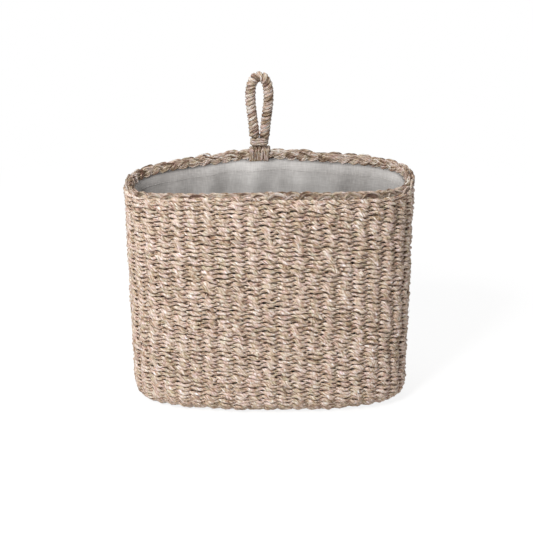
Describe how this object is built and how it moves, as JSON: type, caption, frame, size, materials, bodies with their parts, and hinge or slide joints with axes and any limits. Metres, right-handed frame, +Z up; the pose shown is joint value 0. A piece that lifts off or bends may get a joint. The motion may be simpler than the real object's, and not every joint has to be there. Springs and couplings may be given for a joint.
{
  "type": "wall basket",
  "caption": "Oblong twined seagrass wall basket with a flat base, folded border, linen liner and a wrapped hanging loop at mid back.",
  "frame": {"origin": "centre of the flat underside of the base", "axes": "+Z up; X along the basket; +Y towards the wall it hangs on, -Y to the front seen in the picture"},
  "size_m": [0.2999, 0.1262, 0.3457],
  "materials": {
    "seagrass_straw": "matte twisted seagrass, straw to pinkish beige",
    "seagrass_shaded": "matte twisted seagrass, browner",
    "seagrass_stake": "matte seagrass cord",
    "seagrass_twine": "matte flat twine",
    "cord_core": "matte cord",
    "linen": "matte grey linen, plain weave"
  },
  "bodies": {
    "basket": {"base_weave_under": "seagrass_straw", "base_weave_upper": "seagrass_shaded", "border_braid": "seagrass_shaded", "border_fold_row": "seagrass_straw", "liner_bottom": "linen", "liner_side": "linen", "rim_lashing": "seagrass_twine", "stake_cross_01": "seagrass_stake", "stake_cross_02": "seagrass_stake", "stake_cross_03": "seagrass_stake", "stake_cross_04": "seagrass_stake", "stake_cross_05": "seagrass_stake", "stake_cross_06": "seagrass_stake", "stake_cross_07": "seagrass_stake", "stake_cross_08": "seagrass_stake", "stake_cross_09": "seagrass_stake", "stake_cross_10": "seagrass_stake", "stake_cross_11": "seagrass_stake", "stake_cross_12": "seagrass_stake", "stake_cross_13": "seagrass_stake", "stake_cross_14": "seagrass_stake", "stake_cross_15": "seagrass_stake", "stake_long_01": "seagrass_stake", "stake_long_02": "seagrass_stake", "stake_long_03": "seagrass_stake", "stake_long_04": "seagrass_stake", "stake_long_05": "seagrass_stake", "stake_long_06": "seagrass_stake", "stake_long_07": "seagrass_stake", "stake_long_08": "seagrass_stake", "wall_weave_inner": "seagrass_shaded", "wall_weave_outer": "seagrass_straw"},
    "loop": {"loop_core": "cord_core", "loop_wrap": "seagrass_twine", "loop_binding": "seagrass_twine"}
  },
  "joints": [
    {"name": "loop_hinge", "type": "hinge", "parent": "basket", "child": "loop", "pos_m": [-0.0115, 0.05765, 0.26826], "axis": [1, 0, 0], "range_deg": [-90, 90], "stiffness_Nm_per_rad": 0.03}
  ]
}
